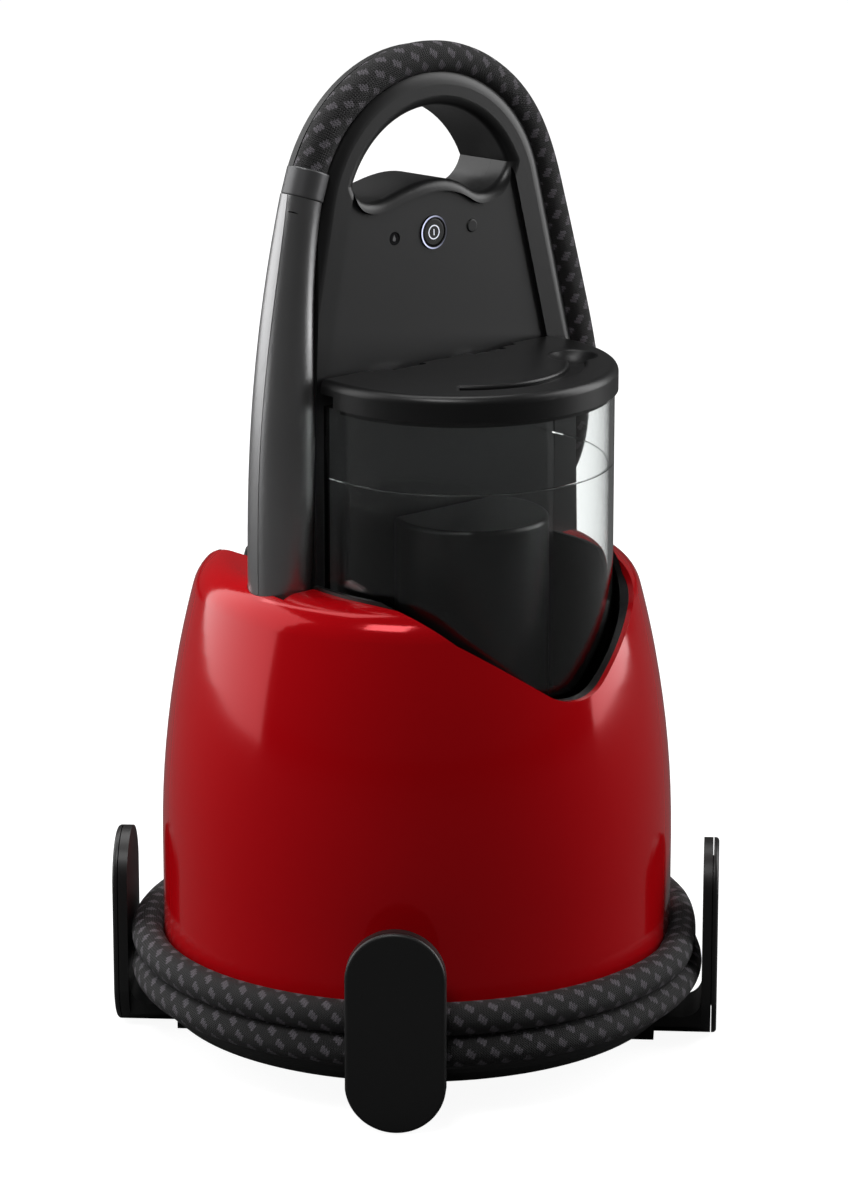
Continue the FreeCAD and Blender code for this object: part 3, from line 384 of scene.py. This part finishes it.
def moulded(name, colour, rough, depth=0.05, size=0.0004, shift=0.25, smear=0.10, metal=0.0,
            coat=0.0, specular=0.5):
    """A moulded or painted finish with its own grain."""
    material, tree, shader = new_material(name)
    surface = tree.nodes.new("ShaderNodeGroup")
    surface.node_tree = grain
    for label, value in (("Colour", (*colour, 1.0)), ("Shift", shift), ("Roughness", rough),
                         ("Smear", smear), ("Grain size", size)):
        surface.inputs[label].default_value = value
    tree.links.new(surface.outputs["Colour"], shader.inputs["Base Color"])
    tree.links.new(surface.outputs["Roughness"], shader.inputs["Roughness"])
    relief = place(tree, "ShaderNodeBump", {"Height": surface.outputs["Height"], "Strength": depth,
                                            "Distance": 0.0002})
    tree.links.new(relief.outputs[0], shader.inputs["Normal"])
    shader.inputs["Metallic"].default_value = metal
    shader.inputs["Coat Weight"].default_value = coat
    shader.inputs["Coat Roughness"].default_value = 0.06
    shader.inputs["Specular IOR Level"].default_value = specular
    return material


def dress(material, *names):
    """Gives CAD pieces their finish."""
    for name in names:
        mesh = nodes[name].data
        mesh.materials.clear()
        mesh.materials.append(material)


satin_black = moulded("satin_black", (0.0085, 0.0085, 0.0088), 0.36)
hook_black = moulded("hook_black", (0.0100, 0.0102, 0.0103), 0.40)
soft_rubber = moulded("soft_rubber", (0.010, 0.010, 0.010), 0.75, depth=0.2, size=0.0006,
                      specular=0.3)


# Base: a black tray with a ledge that the hose rests on, and four pads glued under its feet.
dress(satin_black, "base_tray")
dress(soft_rubber, "foot_pads")


# Cord hooks: four L-shaped plates round the base, each with a cover clipped on its face.
dress(hook_black, *[prefix + "_" + place_name for prefix in ("cord_hook", "hook_cover")
                    for place_name in ("left_front", "right_front", "right_rear", "left_rear")])
steel = moulded("zinc_plated_steel", (0.52, 0.51, 0.49), 0.32, depth=0.05, size=0.0003, metal=1.0)
dress(steel, "deck_posts")


# Hook screws: eight cross-head screws from below, two in each hook's foot.
def links(tree, *pairs):
    """Joins sockets two by two."""
    for a, b in pairs:
        tree.links.new(a, b)


def new_tree(name, sizes):
    """A geometry tree with a Geometry input and output, and its named sizes in metres."""
    tree = bpy.data.node_groups.new(name, "GeometryNodeTree")
    tree.interface.new_socket("Geometry", in_out="INPUT", socket_type="NodeSocketGeometry")
    for label, value in sizes.items():
        socket = tree.interface.new_socket(label, in_out="INPUT", socket_type="NodeSocketFloat")
        socket.default_value = value
    tree.interface.new_socket("Geometry", in_out="OUTPUT", socket_type="NodeSocketGeometry")
    return tree, tree.nodes.new("NodeGroupInput"), tree.nodes.new("NodeGroupOutput")


def grown(name, mesh, tree, sizes, material):
    """The plain mesh that a tree makes from a start mesh."""
    piece = new_object(name, mesh)
    modifier = piece.modifiers.new("grown", "NODES")
    modifier.node_group = tree
    for item in tree.interface.items_tree:
        if item.item_type == "SOCKET" and item.in_out == "INPUT" and item.name in sizes:
            modifier[item.identifier] = sizes[item.name]
    result = bpy.data.meshes.new_from_object(piece.evaluated_get(
        bpy.context.evaluated_depsgraph_get()))
    piece.modifiers.clear()
    piece.data = result
    result.materials.clear()
    result.materials.append(material)
    result.name = name
    return piece


def dots(name, places):
    """A mesh of loose points."""
    mesh = bpy.data.meshes.new(name)
    mesh.from_pydata(places, [], [])
    return mesh


screw_sizes = {"Head radius": 0.004, "Head height": 0.0025, "Shank radius": 0.0019,
               "Shank length": 0.0125, "Slot width": 0.0011}
screw_circles, screw_turns = (0.076, 0.092), (45, 135, 225, 315)
screw_tree, taken, given = new_tree("cross_head_screw", screw_sizes)
head = place(screw_tree, "GeometryNodeMeshCylinder", {
    "Vertices": 32, "Radius": taken.outputs["Head radius"], "Depth": taken.outputs["Head height"]})
shank = place(screw_tree, "GeometryNodeMeshCylinder", {
    "Vertices": 20, "Radius": taken.outputs["Shank radius"], "Depth": taken.outputs["Shank length"]})
raised = place(screw_tree, "ShaderNodeCombineXYZ", {"Z": sums(
    screw_tree, "MULTIPLY", sums(screw_tree, "ADD", taken.outputs["Shank length"],
                                 taken.outputs["Head height"]), 0.4999)})
shank_up = place(screw_tree, "GeometryNodeTransform", {"Geometry": shank.outputs["Mesh"],
                                                       "Translation": raised.outputs[0]})
arm = sums(screw_tree, "MULTIPLY", taken.outputs["Head radius"], 1.15)
bars = []
for turned_by in (0.0, pi / 2):
    size = place(screw_tree, "ShaderNodeCombineXYZ", {
        "X": arm, "Y": taken.outputs["Slot width"], "Z": taken.outputs["Head height"]})
    bar = place(screw_tree, "GeometryNodeMeshCube", {"Size": size.outputs[0]})
    low = place(screw_tree, "ShaderNodeCombineXYZ", {
        "Z": sums(screw_tree, "MULTIPLY", taken.outputs["Head height"], -0.45)})
    bars.append(place(screw_tree, "GeometryNodeTransform", {
        "Geometry": bar.outputs["Mesh"], "Translation": low.outputs[0],
        "Rotation": (0.0, 0.0, turned_by)}))
slotted = place(screw_tree, "GeometryNodeMeshBoolean", operation="DIFFERENCE")
links(screw_tree, (head.outputs["Mesh"], slotted.inputs[0]),
      (bars[0].outputs[0], slotted.inputs[1]), (bars[1].outputs[0], slotted.inputs[1]))
screw = place(screw_tree, "GeometryNodeJoinGeometry")
links(screw_tree, (slotted.outputs[0], screw.inputs[0]), (shank_up.outputs[0], screw.inputs[0]))
on_dots = place(screw_tree, "GeometryNodeInstanceOnPoints", {
    "Points": taken.outputs["Geometry"], "Instance": screw.outputs[0]})
real = place(screw_tree, "GeometryNodeRealizeInstances", {"Geometry": on_dots.outputs[0]})
zinc = place(screw_tree, "GeometryNodeSetMaterial", {"Geometry": real.outputs[0],
                                                     "Material": steel})
links(screw_tree, (zinc.outputs[0], given.inputs[0]))
screw_middle_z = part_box("hook_screws")[0][2] + screw_sizes["Head height"] / 2
screw_places = [(r * cos(radians(turn)), r * sin(radians(turn)), screw_middle_z)
                for turn in screw_turns for r in screw_circles]
cross_head_screws = grown("cross_head_screws", dots("screw_places", screw_places), screw_tree,
                          screw_sizes, steel)
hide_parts("hook_screws")
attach(cross_head_screws, "root")


# Shell: one deep red moulding, polished, with the tank's opening cut in its front. Its gloss is
# tinted red, and the thin clear coat over it is not. The mains inlet is pushed in from outside.
red_gloss = moulded("red_gloss", (0.54, 0.0020, 0.0055), 0.12, depth=0.012, size=0.0022,
                    shift=0.10, smear=0.03, coat=0.12, specular=0.95)
shader = red_gloss.node_tree.nodes["Principled BSDF"]
shader.inputs["Specular Tint"].default_value = (1.0, 0.10, 0.12, 1.0)
dress(red_gloss, "outer_shell")
dress(satin_black, "power_inlet")


# Inside: the deck with the boiler, pump and board, closed in by the shell.
grey_plastic = moulded("grey_plastic", (0.20, 0.195, 0.185), 0.5)
board_green = moulded("board_green", (0.012, 0.07, 0.025), 0.42, size=0.003, shift=0.5)
silicone = moulded("silicone_tube", (0.40, 0.38, 0.34), 0.45)
dress(steel, "boiler_shell", "boiler_ends", "boiler_heater", "safety_valve")
dress(grey_plastic, "boiler_saddles", "water_pump", "solenoid_valve", "thermostat", "well_port")
dress(board_green, "control_board", "button_board")
dress(silicone, "feed_tube", "steam_riser")
dress(satin_black, "chassis_deck")


# Tank well: a black liner that the tank drops into, with the port and seal that meet its valve.
dress(satin_black, "well_liner")
dress(soft_rubber, "port_seal")


# Tank: one clear moulding with a D-shaped plan, faintly hazed by handling. A black canister and
# the outlet's sprung plunger stand in it.
clear, tree, shader = new_material("clear_tank")
spot = place(tree, "ShaderNodeTexCoord").outputs["Object"]
haze = place(tree, "ShaderNodeTexNoise", {"Vector": spot, "Scale": 22.0, "Detail": 3.0})
worn = place(tree, "ShaderNodeMapRange", {
    "Value": haze.outputs[0], "From Min": 0.35, "From Max": 0.75, "To Min": 0.015, "To Max": 0.045})
tree.links.new(worn.outputs[0], shader.inputs["Roughness"])
shader.inputs["Base Color"].default_value = (0.955, 0.975, 0.97, 1.0)
shader.inputs["Transmission Weight"].default_value = 1.0
shader.inputs["IOR"].default_value = 1.46
dress(clear, "tank_body")
# its moulded filling line, a fine bead on the inside of the wall
tank_wall_radius, tank_middle_y, tank_back_y = 0.0628, -0.028, -0.0182
line_z, bead, sunk, line_steps = 0.2620, 0.0004, -0.0001, 60
tank_outline = [(tank_wall_radius * sin(a), tank_middle_y - tank_wall_radius * cos(a))
                for a in (pi * k / line_steps - pi / 2 for k in range(line_steps + 1))]
tank_outline = ([(-tank_wall_radius, tank_back_y)] + tank_outline +
                [(tank_wall_radius, tank_back_y)])
bm = bmesh.new()
corners = []
for x, y in tank_outline:
    inward = Vector((-x, tank_middle_y - min(y, tank_middle_y), 0.0)).normalized()
    corners.append([bm.verts.new(Vector((x, y, line_z + up)) + inward * depth)
                    for depth, up in ((sunk, -bead), (1.4 * bead, -0.3 * bead),
                                      (1.4 * bead, 0.3 * bead), (sunk, bead))])
for a, b in zip(corners, corners[1:]):
    for k in range(4):
        bm.faces.new((a[k], a[(k + 1) % 4], b[(k + 1) % 4], b[k])).smooth = True
bm.faces.new(corners[0])
bm.faces.new(list(reversed(corners[-1])))
bmesh.ops.recalc_face_normals(bm, faces=bm.faces)
filling_line_mesh = bpy.data.meshes.new("filling_line")
bm.to_mesh(filling_line_mesh)
bm.free()
filling_line_mesh.materials.append(clear)
filling_line = new_object("filling_line", filling_line_mesh)
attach(filling_line, "tank")
dress(satin_black, "filter_canister", "outlet_plunger")
dress(steel, "plunger_spring", "lid_pins", "trigger_pin")


# Lid: black, with a crescent grip and a dimple, on two pins at its back.
dress(satin_black, "tank_lid")
dress(soft_rubber, "lid_seal")


# Conduit: two half shells in grained metallic paint up the arch's left side, and the darker
# collar round their top that the hose leaves by.
conduit_grey = moulded("conduit_grey", (0.35, 0.35, 0.354), 0.32, depth=0.22, size=0.0007,
                       metal=0.92)
dress(conduit_grey, "conduit_front", "conduit_rear")
collar_grey = moulded("collar_grey", (0.13, 0.13, 0.133), 0.40, metal=0.6)
dress(collar_grey, "hose_collar")


# Arch: two black half shells that carry the unit's grip and the panel.
dress(satin_black, "tower_front", "tower_rear")
panel_black = moulded("panel_black", (0.0095, 0.0095, 0.0100), 0.46)
dress(panel_black, "control_panel")


# Buttons: the power button in its lit ring, with a steam button on the left and a lamp on the
# right. They sit on a panel that leans back about the tank's rim.
dress(satin_black, "power_button", "steam_button")
lean = radians(2.0)
button_height, panel_front = 0.3568, -0.0126
pivot_y, pivot_z = -0.0144, 0.303


def on_panel(x, out, z):
    """A point on the leaning panel: across, out from its face, and up from the arch's foot."""
    y, rise = panel_front - out - pivot_y, z - pivot_z
    return Vector((x, pivot_y + y * cos(lean) + rise * sin(lean),
                   pivot_z - y * sin(lean) + rise * cos(lean)))


# the ring: only a fine line round it is lit; its glow is brighter on its left as painted shade
glow_radius, glow_half = 0.00675, 0.00030
ring_glow, tree, shader = new_material("ring_glow")
middle = on_panel(0.0, 0.0, button_height)
spot = place(tree, "ShaderNodeTexCoord").outputs["Object"]
from_middle = place(tree, "ShaderNodeVectorMath", {0: spot, 1: tuple(middle)},
                    operation="SUBTRACT")
split = place(tree, "ShaderNodeSeparateXYZ", {0: from_middle.outputs[0]})
flat = place(tree, "ShaderNodeCombineXYZ", {"X": split.outputs[0], "Z": split.outputs[2]})
radius = place(tree, "ShaderNodeVectorMath", {0: flat.outputs[0]},
               operation="LENGTH").outputs["Value"]
off_line = sums(tree, "ABSOLUTE", sums(tree, "SUBTRACT", radius, glow_radius))
thin = sums(tree, "LESS_THAN", off_line, glow_half)
# painted shade: the glow and the ring's colour fade from left to right, though the ring itself is
# lit evenly
side = place(tree, "ShaderNodeMapRange", {"Value": split.outputs[0], "From Min": -0.0068,
                                          "From Max": 0.0062, "To Min": 1.0, "To Max": 0.10})
lit = sums(tree, "MULTIPLY", thin, sums(tree, "POWER", side.outputs[0], 1.4))
glow = place(tree, "ShaderNodeMix", {0: lit, 6: (0.0, 0.0, 0.0, 1.0), 7: (0.66, 0.70, 1.0, 1.0)},
             data_type="RGBA")
links(tree, (glow.outputs[2], shader.inputs["Emission Color"]))
shader.inputs["Emission Strength"].default_value = 1.25
tint = place(tree, "ShaderNodeMix", {0: lit, 6: (0.010, 0.010, 0.011, 1.0),
                                     7: (0.30, 0.31, 0.36, 1.0)}, data_type="RGBA")
links(tree, (tint.outputs[2], shader.inputs["Base Color"]))
shader.inputs["Roughness"].default_value = 0.25
dress(ring_glow, "button_light_ring")
lamp_smoke = moulded("lamp_smoke", (0.012, 0.012, 0.013), 0.12)
dress(lamp_smoke, "water_lamp")


def raised_mark(name, outlines, out, thick, material, body):
    """Printed marks with a little thickness: each outline is a closed row of points on the panel."""
    bm = bmesh.new()
    for outer, inner in outlines:
        tops, feet = ([[bm.verts.new(on_panel(x, level, z)) for x, z in row]
                       for row in (outer, inner) if row] for level in (out + thick, out))
        count = len(outer)
        if inner:
            for k in range(count):
                n = (k + 1) % count
                bm.faces.new((tops[0][k], tops[0][n], tops[1][n], tops[1][k]))
                bm.faces.new((feet[0][n], feet[0][k], feet[1][k], feet[1][n]))
        else:
            bm.faces.new(tops[0])
            bm.faces.new(list(reversed(feet[0])))
        for top, foot in zip(tops, feet):
            for k in range(count):
                n = (k + 1) % count
                bm.faces.new((top[n], top[k], foot[k], foot[n]))
    bmesh.ops.recalc_face_normals(bm, faces=bm.faces)
    mesh = bpy.data.meshes.new(name)
    bm.to_mesh(mesh)
    bm.free()
    mesh.materials.append(material)
    mark = new_object(name, mesh)
    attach(mark, body)
    return mark


def circle(x, z, radius, count=48):
    """A closed row of points round x, z."""
    return [(x + radius * cos(2 * pi * k / count), z + radius * sin(2 * pi * k / count))
            for k in range(count)]


mark_white = moulded("mark_white", (0.72, 0.74, 0.80), 0.4)
shader = mark_white.node_tree.nodes["Principled BSDF"]
shader.inputs["Emission Color"].default_value = (0.85, 0.88, 1.0, 1.0)
shader.inputs["Emission Strength"].default_value = 0.55
bar_half, bar_reach, mark_thick = 0.00025, 0.0013, 0.0001
bar = [(-bar_half, button_height - bar_reach), (bar_half, button_height - bar_reach),
       (bar_half, button_height + bar_reach), (-bar_half, button_height + bar_reach)]
power_mark = raised_mark("power_mark", [
    (circle(0.0, button_height, 0.0031), circle(0.0, button_height, 0.0026)), (bar, None)],
    0.00028, mark_thick, mark_white, "power_key")
drop_x, drop_z, drop_radius, drop_tip = -0.0215, button_height - 0.0004, 0.00085, 0.0016
drop = [(drop_x + drop_radius * cos(radians(a)), drop_z + drop_radius * sin(radians(a)))
        for a in range(150, 391, 15)] + [(drop_x, button_height + drop_tip)]
drop_grey = moulded("drop_grey", (0.16, 0.16, 0.165), 0.35)
drop_mark = raised_mark("drop_mark", [(drop, None)], -0.00032, mark_thick, drop_grey, "root")


# Dock: a black pocket at the back with a heat-proof pad that the iron leans on.
dress(satin_black, "iron_dock")
dress(soft_rubber, "iron_rest_pad")


# Iron: a metal soleplate drilled for steam over its thermoblock, a black cover and handle, a
# trigger, and a rubber strain relief where the hose enters.
sole_grey = moulded("sole_metal", (0.50, 0.50, 0.51), 0.26, size=0.0005, metal=1.0)
dress(sole_grey, "iron_thermoblock")
vent_sizes = {"Vent radius": 0.0015, "Vent depth": 0.0016}
vent_rows, row_pitch, tip_margin = 9, 0.019, 0.030
vent_tree, taken, given = new_tree("steam_vents", vent_sizes)
drill = place(vent_tree, "GeometryNodeMeshCylinder", {
    "Vertices": 16, "Radius": taken.outputs["Vent radius"], "Depth": taken.outputs["Vent depth"]})
spread = place(vent_tree, "GeometryNodeInstanceOnPoints", {
    "Instance": drill.outputs["Mesh"], "Rotation": (pi / 2, 0.0, 0.0)})
places = place(vent_tree, "GeometryNodeObjectInfo", transform_space="RELATIVE")
drills = place(vent_tree, "GeometryNodeRealizeInstances", {"Geometry": spread.outputs[0]})
drilled = place(vent_tree, "GeometryNodeMeshBoolean", operation="DIFFERENCE")
polished = place(vent_tree, "GeometryNodeSetMaterial", {"Geometry": drilled.outputs[0],
                                                        "Material": sole_grey})
links(vent_tree, (places.outputs["Geometry"], spread.inputs["Points"]),
      (taken.outputs["Geometry"], drilled.inputs[0]), (drills.outputs[0], drilled.inputs[1]),
      (polished.outputs[0], given.inputs[0]))
sole_low, sole_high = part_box("iron_soleplate")
vent_places = []
for row in range(vent_rows):
    z = sole_high[2] - tip_margin - row * row_pitch
    half = min(0.036, 0.006 + row * 0.0068)
    for side in (-1, 1):
        vent_places.append((side * half, sole_low[1], z))
        if row > 2:
            vent_places.append((side * (half - 0.011), sole_low[1], z + 0.004))
vent_dots = new_object("vent_places", dots("vent_places", vent_places))
places.inputs[0].default_value = vent_dots
sole_mesh = nodes["iron_soleplate"].data.copy()
bm = bmesh.new()
bm.from_mesh(sole_mesh)
bmesh.ops.remove_doubles(bm, verts=bm.verts, dist=1e-6)
bm.to_mesh(sole_mesh)
bm.free()
drilled_sole = grown("drilled_soleplate", sole_mesh, vent_tree, vent_sizes, sole_grey)
bpy.data.objects.remove(vent_dots)
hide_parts("iron_soleplate")
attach(drilled_sole, "iron")
handle_black = moulded("handle_black", (0.012, 0.012, 0.0125), 0.5, depth=0.12)
dress(handle_black, "iron_handle", "steam_trigger")
dress(satin_black, "iron_cover")
dress(soft_rubber, "hose_strain_relief")
